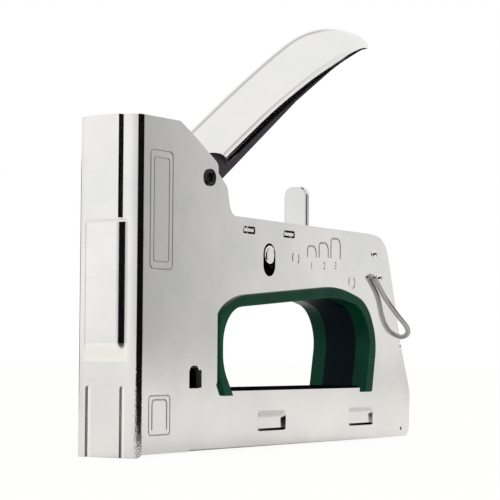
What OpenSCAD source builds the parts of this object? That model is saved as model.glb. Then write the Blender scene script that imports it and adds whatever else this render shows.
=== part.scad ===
// Hand staple gun with a squeeze handle, a drop-in driver and a pull-out magazine rail.
// Frame: +X runs from the nose to the rear, +Z is up, -Y is the gun's left side.
// Origin: middle of the nose foot, in the gun's mid-plane.

/* [Body] */
// Width over the tower cover
cover_w = 26; // [24:0.5:30]
// Height of the tower above the nose foot
tower_h = 118; // [112:1:122]
// Thickness of the tower cover sheet
cover_t = 1; // [0.8:0.1:1.2]
// Thickness of the side plates
plate_t = 1.4; // [1.2:0.1:1.6]
// Height of the ridge pressed into the nose
ridge_rise = 2.3; // [1.5:0.1:3]

/* [Handle] */
// Rest angle of the handle above level
handle_angle = 33; // [30:1:35]
// Diameter of the lever pin
lever_pin_d = 6.3; // [5:0.1:7]
// Sheet thickness of the handle cover
handle_t = 0.9; // [0.7:0.1:1.2]

/* [Grip] */
// Thickness of the grip liner's web
liner_t = 3; // [2.4:0.1:3.6]
// Height that the liner's flange stands off the side plate
flange_rise = 1.4; // [1:0.1:2]

/* [Magazine] */
// Inner width of the staple channel
channel_w = 11.2; // [10.8:0.1:12]
// Width of the rail that the staples straddle
rail_w = 7.8; // [7:0.1:8.2]
// Height of the rail's top
rail_top = 15; // [13:0.5:15]

/* [Springs] */
// Wire thickness of the drive spring
drive_wire = 2; // [1.6:0.1:2.2]
// Number of turns in the drive spring
drive_turns = 10; // [6:1:12]
// Number of turns in the pusher spring
pusher_turns = 26; // [16:1:30]

/* [Bail] */
// Wire diameter of the lock bail
bail_d = 2.1; // [1.6:0.1:2.4]

/* [Hidden] */
$fn = 64;

gap = 0.3;
fit = 0.05;
front_x = -0.5;
plate_x = 2.6;
foot_rise = 1.1;
half_w = cover_w / 2;
plate_out = half_w - cover_t;
plate_in = plate_out - plate_t;
bore_over = 2;

// Lever pivot, driver column and staple exit
pivot = [44.8, 99.4];
lever_r = lever_pin_d / 2;
spring_x = 14;
spring_r = 5.3;
striker_z = 50;
striker_h = 7;
prong_reach = 33;
prong_angle = 27;
prong_r = 3;
ledge_z = pivot.y - prong_reach * sin(prong_angle) + prong_r + gap;
seat_z = 112;
blade_x = 1.2;
blade_t = 1.2;

// Lever arm cheeks
cheek_out = 8.4;
cheek_t = 1.4;

// Force adjuster
adj_pin = [88.5, 73.4];
adj_pin_r = 3.55;
tongue_x = 128.1;
tongue_t = 2.6;
tongue_w = 10.4;
tongue_top = 102.7;

// Rivets, bail hole and louvres in the side plates
rivet_fore_at = [108.3, 73];
rivet_aft_at = [153.7, 65];
rivet_r = 2.75;
bail_at = [169.5, 68.1];
bail_r = bail_d / 2;
windows = [[69.5, 80.6], [98.9, 80.6]];
window_size = [8.6, 2.8];
louvres = [80.6, 151.5];
louvre_size = [21, 7.8];
louvre_z = 6.8;
slit_h = 0.9;

// Magazine
channel_t = 0.9;
channel_top = 20.6;
rail_x0 = 4.6;
rail_x1 = 200;
rail_t = 0.9;
rail_z0 = 2.6;
rod_z = 18;
rod_r = 1.3;
cap_x = [199.4, 204.4];
latch_z = 6;

steel = [0.86, 0.86, 0.87];
inner_steel = [0.55, 0.56, 0.58];
spring_steel = [0.45, 0.46, 0.48];
lever_grey = [0.2, 0.2, 0.22];
black = [0.06, 0.06, 0.07];
grip_green = [0.02, 0.2, 0.12];
inset_blue = [0.02, 0.06, 0.09];

// Outlines are lists of [x, z, corner radius], counter-clockwise when seen with +X to the right.
side_outline = [
    [plate_x, foot_rise, 0], [204.9, foot_rise, 4], [205.7, 20, 8], [197.7, 39, 12], [191.8, 58, 20],
    [183, 84.6, 12], [168, 85.8, 10], [60.9, 86.7, 5], [58.4, 97, 4], [48.9, 104.1, 2],
    [25, 116.8, 0], [plate_x, 116.8, 0]];
cover_outline = [
    [front_x, 0, 0], [1.5, 0, 1], [3.2, foot_rise, 1], [32.4, foot_rise, 0], [32.6, 23.6, 0],
    [50.7, 23.6, 2.5], [50.7, 104.8, 3], [34.5, 113.7, 12], [25.4, tower_h, 2], [front_x, tower_h, 0]];
arch_inner = [
    [62, 20, 0], [162.6, 20, 0], [167.2, 42, 16], [161.5, 54.6, 16], [141, 58.8, 75],
    [54.4, 52.2, 14], [54.4, 31, 16]];
arch_flange = [
    [53.2, 20.4, 1], [169.4, 20.4, 1], [173.4, 42, 20], [165, 57.6, 19], [140, 63.2, 70],
    [65, 57.4, 34], [51.2, 50.4, 13], [51.2, 28, 6]];
opening_floor = 22.1;

// Handle sections: [distance from the pivot, half width, crown, shoulder, rim], heights off the axis
handle_rows = [
    [5, 10.1, 9.8, 0.4, -3.4], [30, 10.1, 9.7, 0.2, -3.7], [60, 10.5, 9.3, -0.4, -4],
    [90, 10.9, 8.2, -2.6, -5.3], [110, 11.1, 6.4, -5.2, -7.6], [125, 11.1, 2.4, -8, -10],
    [136, 10.3, -3.4, -11, -12.3], [145.5, 8, -10.4, -15.2, -16], [151, 4.8, -16.2, -18.2, -18.7],
    [153.4, 1.2, -18.8, -19.5, -19.8]];

// Bail leg from the pivot hole to the middle of the crossbar, on the left side
bail_path = [
    [169.5, -13.4, 68.1], [174.2, -13.4, 64.4], [179.8, -13.8, 59.2], [186.8, -15.8, 52.4],
    [192.2, -16.9, 48.2], [195.8, -16.2, 45.4], [197.8, -14, 43.8], [198.4, -10.6, 43.2],
    [198.4, -5, 43.2]];
bail_eye_y = 9.6;

function unit(v) = v / norm(v);
function flat(p) = [p.x, p.y];

// Points of one rounded corner of an outline
function corner(before, at, after, steps = 6) =
    let (r = at.z,
         u = unit(flat(before) - flat(at)),
         w = unit(flat(after) - flat(at)),
         half = acos(u * w) / 2,
         mid = flat(at) + unit(u + w) * r / sin(half),
         a = flat(at) + u * r / tan(half) - mid,
         b = flat(at) + w * r / tan(half) - mid,
         start = atan2(a.y, a.x),
         turn = atan2(cross(a, b), a * b))
    r == 0 ? [flat(at)] : [for (i = [0 : steps]) mid + r * [cos(start + turn * i / steps),
                                                            sin(start + turn * i / steps)]];

// A closed outline with its corners rounded
function rounded(outline) =
    let (n = len(outline))
    [for (i = [0 : n - 1]) each corner(outline[(i + n - 1) % n], outline[i], outline[(i + 1) % n])];

// The outline moved outwards by d, with its radii changed to match
function grown(outline, d) =
    let (n = len(outline))
    [for (i = [0 : n - 1])
        let (at = outline[i],
             e = unit(flat(at) - flat(outline[(i + n - 1) % n])),
             f = unit(flat(outline[(i + 1) % n]) - flat(at)),
             shift = ([e.y, -e.x] + [f.y, -f.x]) * d / (1 + e * f),
             r = at.z == 0 ? 0 : max(0.2, at.z + (cross(e, f) > 0 ? d : -d)))
        [at.x + shift.x, at.y + shift.y, r]];

// Smooth curve through the rows of a table, k between 0 and its last row
function blend_rows(rows, k) =
    let (last = len(rows) - 1,
         i = min(floor(k), last - 1),
         t = k - i,
         p0 = rows[max(i - 1, 0)],
         p1 = rows[i],
         p2 = rows[i + 1],
         p3 = rows[min(i + 2, last)])
    0.5 * (2 * p1 + (p2 - p0) * t + (2 * p0 - 5 * p1 + 4 * p2 - p3) * t * t
           + (3 * p1 - p0 - 3 * p2 + p3) * t * t * t);

// One handle section as a closed ring in [along, across, up]
function handle_ring(row, t, steps = 16) =
    let (rise = row[2] - row[3],
         limit = 90 + asin((row[3] - row[4]) / rise))
    [for (side = [0, 1]) for (i = [0 : steps])
        let (a = (side == 0 ? 1 : -1) * limit * (2 * i / steps - 1),
             inset = side * min(t, 0.6 * row[1]))
        [row[0] - (side == 1 && row[0] > 140 ? inset : 0),
         (row[1] - inset) * sin(a),
         row[3] + (rise - side * min(t, 0.6 * rise)) * cos(a)]];

// Closed skin over rings that all have the same number of points
module skin(rings) {
    n = len(rings[0]);
    last = len(rings) - 1;
    points = [for (ring = rings) each ring];
    sides = [for (i = [0 : last - 1]) for (j = [0 : n - 1])
        [i * n + j, i * n + (j + 1) % n, (i + 1) * n + (j + 1) % n, (i + 1) * n + j]];
    split = [for (q = sides) each [[q[0], q[1], q[2]], [q[0], q[2], q[3]]]];
    start = [for (j = [n - 1 : -1 : 0]) j];
    end = [for (j = [0 : n - 1]) last * n + j];
    polyhedron(points, concat([start], split, [end]));
}

// Round wire along a path; up is any direction that the path never takes
module wire(path, r, up, sides = 8) {
    last = len(path) - 1;
    rings = [for (i = [0 : last])
        let (t = unit(path[min(i + 1, last)] - path[max(i - 1, 0)]),
             b = unit(cross(t, up)),
             c = cross(b, t))
        [for (j = [0 : sides - 1])
            path[i] + r * (b * cos(360 * j / sides) + c * sin(360 * j / sides))]];
    skin(rings);
}

// Coil about +Z from z = 0 to z = h
module coil(r, h, turns, wire_r, per_turn = 18, sides = 8) {
    steps = turns * per_turn;
    path = [for (i = [0 : steps])
        [r * cos(360 * i / per_turn), r * sin(360 * i / per_turn),
         wire_r + (h - 2 * wire_r) * i / steps]];
    wire(path, wire_r, [0, 0, 1], sides);
}

// Extrudes a drawing made in X and Z across the gun, from y0 to y1
module across(y0, y1) {
    translate([0, y1, 0])
        rotate([90, 0, 0])
            linear_extrude(y1 - y0)
                children();
}

// Round bar across the gun
module cross_bar(at, r, y0, y1) {
    translate([at.x, y1, at.y])
        rotate([90, 0, 0])
            cylinder(r = r, h = y1 - y0);
}

// Both mirror images about the gun's mid-plane
module both() {
    children();
    mirror([0, 1, 0]) children();
}

// Moves the handle's own axes, along and up, to the lever pivot
module at_handle() {
    translate([pivot.x, 0, pivot.y])
        rotate([0, -handle_angle, 0])
            children();
}

// Plan section of the bent cover sheet
module cover_plan() {
    outer = [[front_x, -half_w, 3], [70, -half_w, 0], [70, half_w, 0], [front_x, half_w, 3]];
    difference() {
        polygon(rounded(outer));
        polygon(rounded(grown(outer, -cover_t)));
        translate([60, -half_w]) square([20, cover_w]);
    }
}

// Relief notch at the foot of the cover's rear edge
module notch_2d() {
    translate([32.4, 23.4]) square([5.8, 5.3]);
    translate([38, 23.4]) square([2.4, 6.6]);
    translate([35.3, 28.7]) circle(2.9);
}

// Solid form of the pressed ridge, drawn in by d
module ridge_form(d) {
    top = front_x - ridge_rise + d;
    low = top - 0.4;
    back = front_x + cover_t + d;
    intersection() {
        translate([0, 0, -1]) linear_extrude(tower_h + 1) polygon([
            [back, -6.6 + d], [front_x, -6.5 + d], [top, -5.8 + d], [top, 5.8 - d], [front_x, 6.5 - d],
            [back, 6.6 - d]]);
        across(-10, 10) polygon([[back, 84], [top, 82], [top, tower_h], [back, tower_h]]);
    }
    intersection() {
        translate([0, 0, -1]) linear_extrude(tower_h + 1) polygon([
            [back, -8.6 + d], [front_x, -8.2 + d], [low, -5.8 + d], [low, 5.8 - d], [front_x, 8.2 - d],
            [back, 8.6 - d]]);
        across(-10, 10) polygon([
            [back, 84], [low, 82], [low, 39.2 + d], [front_x, 32.4 + d], [back, 32.4 + d]]);
    }
}

module tower_cover() {
    color(steel) difference() {
        union() {
            intersection() {
                linear_extrude(tower_h) cover_plan();
                across(-half_w - 1, half_w + 1) difference() {
                    polygon(rounded(cover_outline));
                    notch_2d();
                }
            }
            ridge_form(0);
        }
        ridge_form(cover_t);
        both() translate([front_x - 1, 6.1, -1]) cube([1.5, 2.2, 25.5]);
        cross_bar(pivot, lever_r + fit, -half_w - bore_over, half_w + bore_over);
    }
}

module tower_cap() {
    cap_t = 1.2;
    x0 = front_x + cover_t;
    outline = [[x0, -plate_out, 3], [25.2, -plate_out, 0], [25.2, plate_out, 0], [x0, plate_out, 3]];
    color(steel) translate([0, 0, tower_h - cap_t])
        linear_extrude(cap_t) polygon(rounded(outline));
}

module oval_slot_2d() {
    for (z = [69.6, 73.4])
        translate([adj_pin.x, z]) circle(4.4);
    translate([adj_pin.x - 4.4, 69.6]) square([8.8, 3.8]);
}

module side_plate() {
    difference() {
        across(-plate_out, -plate_in) difference() {
            polygon(rounded(side_outline));
            intersection() {
                polygon(rounded(grown(arch_inner, liner_t)));
                translate([40, opening_floor]) square([150, 50]);
            }
            notch_2d();
            oval_slot_2d();
            for (w = windows)
                translate(w) square(window_size);
            for (x = louvres)
                translate([x, louvre_z]) square([louvre_size.x, slit_h]);
            translate([196.2, 38.7]) square([1.2, 2.2]);
        }
        for (x = louvres)
            translate([x, -plate_out - 1, louvre_z]) cube([louvre_size.x, 1.5, louvre_size.y]);
        cross_bar(pivot, lever_r + fit, -plate_out - bore_over, -plate_in + bore_over);
        cross_bar(rivet_fore_at, rivet_r, -plate_out - bore_over, -plate_in + bore_over);
        cross_bar(rivet_aft_at, rivet_r, -plate_out - bore_over, -plate_in + bore_over);
        cross_bar(bail_at, bail_r + 2 * fit, -plate_out - bore_over, -plate_in + bore_over);
        cross_bar([197.6, 4.4], 0.8, -plate_out - bore_over, -plate_in + bore_over);
    }
}

module side_plate_left() {
    color(steel) side_plate();
}

module side_plate_right() {
    color(steel) mirror([0, 1, 0]) side_plate();
}

// Strip between the top edges, with a flange and tab behind each window
module top_bridge() {
    top = 84.9;
    flange_t = 1.2;
    color(inner_steel) {
        difference() {
            translate([64, -plate_in, 79.6]) cube([100, 2 * plate_in, top - 79.6]);
            translate([63, -plate_in + flange_t, 79]) cube([102, 2 * (plate_in - flange_t), top - 80]);
            translate([tongue_x - 1, -tongue_w / 2 - 0.6, 79]) cube([tongue_t + 2, tongue_w + 1.2, 10]);
        }
        both() for (w = windows)
            translate([w.x + 0.6, -plate_out + 0.3, w.y + 0.9])
                cube([window_size.x - 1.2, plate_t - 0.3, window_size.y - 0.9]);
    }
}

module rear_spine() {
    spine_t = 1.2;
    color(steel) across(-plate_in, plate_in) intersection() {
        difference() {
            polygon(rounded(grown(side_outline, -0.6)));
            polygon(rounded(grown(side_outline, -0.6 - spine_t)));
        }
        translate([166, 21.2]) square([50, 80]);
    }
}

module grip_liner() {
    color(grip_green) difference() {
        union() {
            across(-plate_out, plate_out) intersection() {
                polygon(rounded(grown(arch_inner, liner_t)));
                translate([40, opening_floor]) square([150, 50]);
            }
            both() across(-plate_out - flange_rise, -plate_out) polygon(rounded(arch_flange));
        }
        across(-half_w - 3, half_w + 3) polygon(rounded(arch_inner));
        across(-7, 7) intersection() {
            polygon(rounded(grown(arch_inner, 1)));
            translate([40, 18]) square([150, 50]);
        }
    }
}

module grip_inset() {
    color(inset_blue) across(-7, 7) difference() {
        intersection() {
            polygon(rounded(grown(arch_inner, 1)));
            translate([40, opening_floor]) square([150, 50]);
        }
        polygon(rounded(arch_inner));
    }
}

// Plate behind the driver blade, open below where the staples come through
module nose_guide() {
    color(inner_steel) difference() {
        translate([blade_x + blade_t + gap, -plate_in, foot_rise]) cube([1.4, 2 * plate_in, 38]);
        translate([0, -6.8, 0]) cube([10, 13.6, 21]);
    }
}

module bumper_shelf() {
    color(inner_steel) difference() {
        translate([4.4, -plate_in, 34]) cube([20, 2 * plate_in, 7]);
        translate([5.6, -plate_in - 1, 33]) cube([20, 2 * plate_in + 2, 6.6]);
    }
}

module bumper() {
    color(black) translate([5.4, -8.4, 41]) cube([16.6, 16.8, striker_z - 41 - gap]);
}

// Top seat of the drive spring, with a spigot inside the coil
module spring_seat() {
    color(inner_steel) {
        translate([1.2, -plate_in, seat_z]) cube([24, 2 * plate_in, 1.4]);
        translate([spring_x, 0, seat_z - 8]) cylinder(r = 3.6, h = 8.6);
    }
}

module drive_spring() {
    low = striker_z + striker_h;
    color(spring_steel) translate([spring_x, 0, low])
        coil(spring_r, seat_z - low, drive_turns, drive_wire / 2);
}

module magazine_channel() {
    inner = channel_w / 2;
    color(inner_steel) difference() {
        translate([rail_x0, -inner - channel_t, foot_rise])
            cube([194, channel_w + 2 * channel_t, channel_top - foot_rise]);
        translate([0, -inner, foot_rise + channel_t]) cube([220, channel_w, 30]);
    }
}

module channel_lid() {
    color(inner_steel) translate([48, -plate_in, channel_top]) cube([148, 2 * plate_in, 0.9]);
}

module rivet_fore() {
    color(steel) cross_bar(rivet_fore_at, rivet_r, -plate_out, plate_out);
}

module rivet_aft() {
    color(steel) cross_bar(rivet_aft_at, rivet_r, -plate_out, plate_out);
}

// Pin that the handle turns on, hollow at both ends
module lever_pin() {
    reach = half_w + 0.8;
    color(black) difference() {
        cross_bar(pivot, lever_r, -reach, reach);
        both() cross_bar(pivot, 1.6, -reach - 1, -reach + 1.6);
    }
}

module pivot_spacers() {
    color(inner_steel) both() difference() {
        cross_bar(pivot, 5.6, -plate_in, -cheek_out - gap);
        cross_bar(pivot, lever_r + fit, -plate_in - 1, -cheek_out + 1);
    }
}

// Torsion spring on the lever pin
module return_spring() {
    turns_w = 9;
    color(spring_steel) translate([pivot.x, turns_w / 2, pivot.y])
        rotate([90, 0, 0])
            coil(4.8, turns_w, 6, 0.6, 18, 6);
}

// Leaf that presses on the adjuster's tongue
module detent_leaf() {
    t = 0.5;
    color(spring_steel) across(-4, 4) polygon([
        [136, 83.6], [136, 79], [131.5, 75], [135.7, 70], [135.7 + t, 70], [132.2, 75], [136 + t, 78.7],
        [136 + t, 83.6]]);
}

// Deep-drawn handle cover: a domed shell with curled-in flanks
module handle_cover() {
    steps = 3;
    last = len(handle_rows) - 1;
    rings = [for (i = [0 : last * steps]) handle_ring(blend_rows(handle_rows, i / steps), handle_t)];
    color(steel) at_handle() difference() {
        skin(rings);
        translate([4, 14, -11]) rotate([90, 0, 0]) cylinder(r = 17, h = 28);
    }
}

// Side view of the lever arm, without its pivot bore
module lever_2d() {
    tip = prong_reach * [cos(180 + prong_angle - handle_angle), sin(180 + prong_angle - handle_angle)];
    circle(8);
    translate(tip) circle(prong_r);
    polygon([tip + [0.5, prong_r - 0.1], [0, 7.8], [3, -7.2], tip + [0.5, 0.1 - prong_r]]);
    polygon([[0, -7.9], [78, -8], [110, -10], [128, -12], [124, -8.6], [110, -3.4], [90, -0.4], [60, 2.2],
             [14, 2.6], [4, 6.6], [0, 7.6]]);
}

// Inverted channel that carries the handle cover, with two prongs that lift the striker
module lever_arm() {
    inner = cheek_out - cheek_t;
    web_lap = 0.2;
    color(lever_grey) at_handle() {
        both() difference() {
            across(-cheek_out, -inner) lever_2d();
            cross_bar([0, 0], lever_r + fit, -cheek_out - 1, -inner + 1);
        }
        across(-inner - web_lap, inner + web_lap) polygon([
            [14, 2.5], [14, 1.1], [60, 0.7], [90, -1.9], [110, -4.9], [122, -9.4], [125.6, -11.5],
            [127.2, -11.3], [123.6, -8.7], [110, -3.5], [90, -0.5], [60, 2.1]]);
    }
}

// Slider that the drive spring throws down; its ledges ride on the lever's prongs
module striker() {
    cheek_in = cheek_out + 0.4;
    cheek = 1.1;
    color(inner_steel) {
        translate([blade_x + blade_t, -cheek_in - cheek, striker_z])
            cube([20, 2 * (cheek_in + cheek), striker_h]);
        translate([spring_x, 0, striker_z + striker_h]) cylinder(r = 3.6, h = 6);
        both() translate([8, -cheek_in - cheek, striker_z]) cube([12, cheek, ledge_z + 3 - striker_z]);
        both() translate([8, -cheek_in - cheek, ledge_z]) cube([5.2, cheek_in + cheek - 6.8, 3]);
    }
}

module driver_blade() {
    color(spring_steel) difference() {
        translate([blade_x, -5.2, 0.8]) cube([blade_t, 10.4, 58]);
        translate([0, 0, 53.5]) rotate([0, 90, 0]) cylinder(r = 1.8, h = 6);
    }
}

module blade_rivet() {
    color(inner_steel) translate([blade_x, 0, 53.5]) rotate([0, 90, 0]) cylinder(r = 1.8, h = blade_t);
}

module adjuster_tongue() {
    outline = [[-tongue_w / 2, 70, 0], [tongue_w / 2, 70, 0], [tongue_w / 2, tongue_top, 2.2],
               [-tongue_w / 2, tongue_top, 2.2]];
    color(steel) translate([tongue_x, 0, 0]) rotate([90, 0, 90])
        linear_extrude(tongue_t) polygon(rounded(outline));
}

module adjuster_slide() {
    outline = [[83, 68, 2], [tongue_x, 68, 0], [tongue_x, 82.4, 0], [101, 82.4, 4], [97, 79, 4],
               [83, 79, 2]];
    play = 7;
    color(inner_steel) difference() {
        across(-1.6, 1.6) difference() {
            polygon(rounded(outline));
            translate([rivet_fore_at.x - 3.4, rivet_fore_at.y - 3.4]) square([6.8, 3.4 + play]);
        }
        cross_bar(adj_pin, adj_pin_r, -3, 3);
    }
}

module adjuster_pin() {
    reach = plate_out + 0.6;
    color(steel) cross_bar(adj_pin, adj_pin_r, -reach, reach);
}

// Sprung wire bail that holds the handle down; each eye turns in a side plate
module wire_bail() {
    last = len(bail_path) - 1;
    smooth = [for (i = [0 : last * 3]) blend_rows(bail_path, i / 3)];
    right = [for (i = [len(smooth) - 1 : -1 : 0]) [smooth[i].x, -smooth[i].y, smooth[i].z]];
    color(steel) {
        wire(concat(smooth, right), bail_r, [1, 0, 1], 12);
        both() cross_bar(bail_at, bail_r, -13.4 - bail_r, -bail_eye_y);
    }
}

// Inverted channel that the staples straddle
module rail() {
    half = rail_w / 2;
    color(steel) difference() {
        translate([rail_x0, -half, rail_z0]) cube([rail_x1 - rail_x0, rail_w, rail_top - rail_z0]);
        translate([0, -half + rail_t, 0]) cube([220, rail_w - 2 * rail_t, rail_top - rail_t]);
    }
}

module rail_end_cap() {
    half = plate_in - gap;
    outline = [[cap_x[0], 2.4, 0], [cap_x[1] - 0.4, 2.4, 2], [cap_x[1], 19.6, 2], [cap_x[0], 19.6, 0]];
    color(black) difference() {
        across(-half, half) polygon(rounded(outline));
        translate([cap_x[0] - 1, -rail_w / 2, rail_z0])
            cube([rail_x1 - cap_x[0] + 1, rail_w, rail_top - rail_z0]);
        translate([cap_x[0] - 1, -2.9, latch_z - 0.6]) cube([10, 5.8, 4.4]);
        translate([cap_x[0] - 1, 0, rod_z]) rotate([0, 90, 0]) cylinder(r = rod_r, h = 3);
    }
}

module guide_rod() {
    color(spring_steel) translate([24, 0, rod_z]) rotate([0, 90, 0]) cylinder(r = rod_r, h = cap_x[0] + 2 - 24);
}

// Bracket on the rail that holds the rod's front end
module rod_stop() {
    color(inner_steel) difference() {
        translate([24, -2.4, rail_top]) cube([1.6, 4.8, 5.2]);
        translate([23, 0, rod_z]) rotate([0, 90, 0]) cylinder(r = rod_r, h = 4);
    }
}

module pusher_spring() {
    start = 43;
    color(spring_steel) translate([start, 0, rod_z]) rotate([0, 90, 0])
        coil(2, cap_x[0] - start, pusher_turns, 0.4, 12, 6);
}

// Saddle that drives the staples forward, with a lug that runs on the rod
module pusher() {
    half = channel_w / 2 - gap;
    color(inner_steel) {
        difference() {
            translate([26.2, -half, 2.6]) cube([16, 2 * half, 20 - 2.6]);
            translate([20, -rail_w / 2 - gap, 0]) cube([30, rail_w + 2 * gap, rail_top + gap]);
            translate([20, 0, rod_z]) rotate([0, 90, 0]) cylinder(r = rod_r + fit, h = 30);
        }
    }
}

module rail_latch() {
    color(black) {
        translate([188, -2.6, latch_z]) cube([18, 5.2, 1.4]);
        translate([188, -2.6, 2.4]) cube([2, 5.2, 4]);
        translate([cap_x[1] + 0.4, -2.6, latch_z - 3]) cube([1.2, 5.2, 6]);
    }
}

module latch_spring() {
    low = latch_z + 1.4;
    color(spring_steel) translate([195, 0, low])
        coil(1.5, rail_top - rail_t - low, 5, 0.3, 12, 6);
}

tower_cover();
tower_cap();
side_plate_left();
side_plate_right();
top_bridge();
rear_spine();
grip_liner();
grip_inset();
nose_guide();
bumper_shelf();
bumper();
spring_seat();
drive_spring();
magazine_channel();
channel_lid();
rivet_fore();
rivet_aft();
lever_pin();
pivot_spacers();
return_spring();
detent_leaf();
handle_cover();
lever_arm();
striker();
driver_blade();
blade_rivet();
adjuster_tongue();
adjuster_slide();
adjuster_pin();
wire_bail();
rail();
rail_end_cap();
guide_rod();
rod_stop();
pusher_spring();
pusher();
rail_latch();
latch_spring();
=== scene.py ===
"""Looks of a hand staple gun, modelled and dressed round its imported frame.

Lengths in the classes are millimetres in the part's own frame: +X runs to the rear, +Z is up and
-Y is the gun's left side.
"""
import logging
import math
from dataclasses import dataclass
from enum import Enum
from typing import Any, Callable, Iterable, Sequence

import bpy
from mathutils import Matrix, Vector


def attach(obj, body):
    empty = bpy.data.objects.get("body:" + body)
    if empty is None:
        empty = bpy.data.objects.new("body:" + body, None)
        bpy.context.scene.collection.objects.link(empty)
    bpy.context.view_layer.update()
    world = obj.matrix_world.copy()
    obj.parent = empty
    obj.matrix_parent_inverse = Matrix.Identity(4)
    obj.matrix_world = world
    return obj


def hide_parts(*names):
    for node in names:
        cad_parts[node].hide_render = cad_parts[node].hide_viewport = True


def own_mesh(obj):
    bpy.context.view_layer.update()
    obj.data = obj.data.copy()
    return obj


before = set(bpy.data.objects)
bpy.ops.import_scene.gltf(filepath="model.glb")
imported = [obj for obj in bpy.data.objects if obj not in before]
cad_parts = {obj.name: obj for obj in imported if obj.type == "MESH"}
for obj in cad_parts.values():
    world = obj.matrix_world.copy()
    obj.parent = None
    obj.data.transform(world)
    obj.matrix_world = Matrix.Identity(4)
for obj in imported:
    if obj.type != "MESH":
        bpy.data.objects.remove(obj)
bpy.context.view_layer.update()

LOG = logging.getLogger("staple_gun")
MM = 0.001
Point = tuple[float, float]
Place = tuple[float, float, float]
Colour = tuple[float, float, float]
Piece = bpy.types.Object
Test = Callable[[Vector, Vector], bool]


class Way(Enum):
    """Direction in which a flat outline is thickened."""

    ALONG = "x"
    ACROSS = "y"

    def place(self, a: float, b: float, depth: float) -> Vector:
        """A point of the outline at a depth, in metres."""
        turned = (depth, a, b) if self is Way.ALONG else (a, depth, b)
        return Vector(turned) * MM


class Body(Enum):
    """The moving bodies of the gun."""

    FRAME = "frame"
    HANDLE = "handle"
    DRIVER = "driver"
    ADJUSTER = "adjuster"
    BAIL = "bail"
    RAIL = "magazine_rail"
    PUSHER = "staple_pusher"
    LATCH = "latch"


class Slot(Enum):
    """The finishes that the part's record names."""

    POLISHED = "polished_steel"
    CHROME = "bright_chrome"
    LEVER = "lever_grey"
    GREEN = "green_grip"
    INSET = "dark_inset"
    OXIDE = "black_oxide"
    ZINC = "zinc_steel"
    SPRING = "spring_steel"
    RUBBER = "black_rubber"
    PLASTIC = "black_plastic"


@dataclass(frozen=True)
class Outline:
    """A closed outline of (a, b, corner radius) corners, counter-clockwise."""

    corners: tuple[Place, ...]
    steps: int = 10

    def grown(self, reach: float) -> "Outline":
        """Moves every edge outwards.

        Args:
            reach: How far, negative for inwards.

        Returns:
            The new outline, with its radii changed to match.
        """
        made = []
        count = len(self.corners)
        for i, (a, b, radius) in enumerate(self.corners):
            before = Vector(self.corners[i - 1][:2])
            at = Vector((a, b))
            after = Vector(self.corners[(i + 1) % count][:2])
            e = (at - before).normalized()
            f = (after - at).normalized()
            shift = (Vector((e.y, -e.x)) + Vector((f.y, -f.x))) * reach / (1 + e.dot(f))
            turn = e.x * f.y - e.y * f.x
            grown = max(0.2, radius + math.copysign(reach, reach * turn)) if radius else 0.0
            made.append((a + shift.x, b + shift.y, grown))
        return Outline(tuple(made), self.steps)

    def points(self) -> list[Point]:
        """The outline's points with the corners rounded."""
        made: list[Point] = []
        count = len(self.corners)
        for i, (a, b, radius) in enumerate(self.corners):
            at = Vector((a, b))
            if radius == 0:
                made.append((a, b))
                continue
            u = (Vector(self.corners[i - 1][:2]) - at).normalized()
            w = (Vector(self.corners[(i + 1) % count][:2]) - at).normalized()
            half = math.acos(max(-1.0, min(1.0, u.dot(w)))) / 2
            middle = at + (u + w).normalized() * radius / math.sin(half)
            first = at + u * radius / math.tan(half) - middle
            last = at + w * radius / math.tan(half) - middle
            start = math.atan2(first.y, first.x)
            turn = math.atan2(first.x * last.y - first.y * last.x, first.dot(last))
            for k in range(self.steps + 1):
                angle = start + turn * k / self.steps
                made.append((middle.x + radius * math.cos(angle), middle.y + radius * math.sin(angle)))
        return made


def box_outline(a0: float, b0: float, a1: float, b1: float, radius: float = 0.0) -> Outline:
    """A rectangle's outline with equal corners."""
    return Outline(((a0, b0, radius), (a1, b0, radius), (a1, b1, radius), (a0, b1, radius)), 6)


def stroke(path: Sequence[Point], width: float) -> list[Point]:
    """The closed outline of an open line drawn with a wide pen.

    Args:
        path: The line's points.
        width: The pen's width.

    Returns:
        The outline's points.
    """
    left, right = [], []
    for i, point in enumerate(path):
        before = Vector(path[max(i - 1, 0)])
        after = Vector(path[min(i + 1, len(path) - 1)])
        along = (after - before).normalized()
        side = Vector((-along.y, along.x)) * width / 2
        left.append((point[0] + side.x, point[1] + side.y))
        right.append((point[0] - side.x, point[1] - side.y))
    return right + left[::-1]


def ease(value: float, low: float = 0.0, high: float = 1.0) -> float:
    """Rises smoothly from 0 at low to 1 at high."""
    t = max(0.0, min(1.0, (value - low) / (high - low)))
    return t * t * (3 - 2 * t)


def through(rows: Sequence[Sequence[float]], k: float) -> list[float]:
    """Reads a table of rows on a smooth curve.

    Args:
        rows: The table.
        k: Place in it, from 0 to its last row.

    Returns:
        The row at that place.
    """
    last = len(rows) - 1
    i = min(int(k), last - 1)
    t = k - i
    p0, p1, p2, p3 = rows[max(i - 1, 0)], rows[i], rows[i + 1], rows[min(i + 2, last)]
    return [
        0.5 * (2 * b + (c - a) * t + (2 * a - 5 * b + 4 * c - d) * t**2 + (3 * b - a - 3 * c + d) * t**3)
        for a, b, c, d in zip(p0, p1, p2, p3)
    ]


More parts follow.
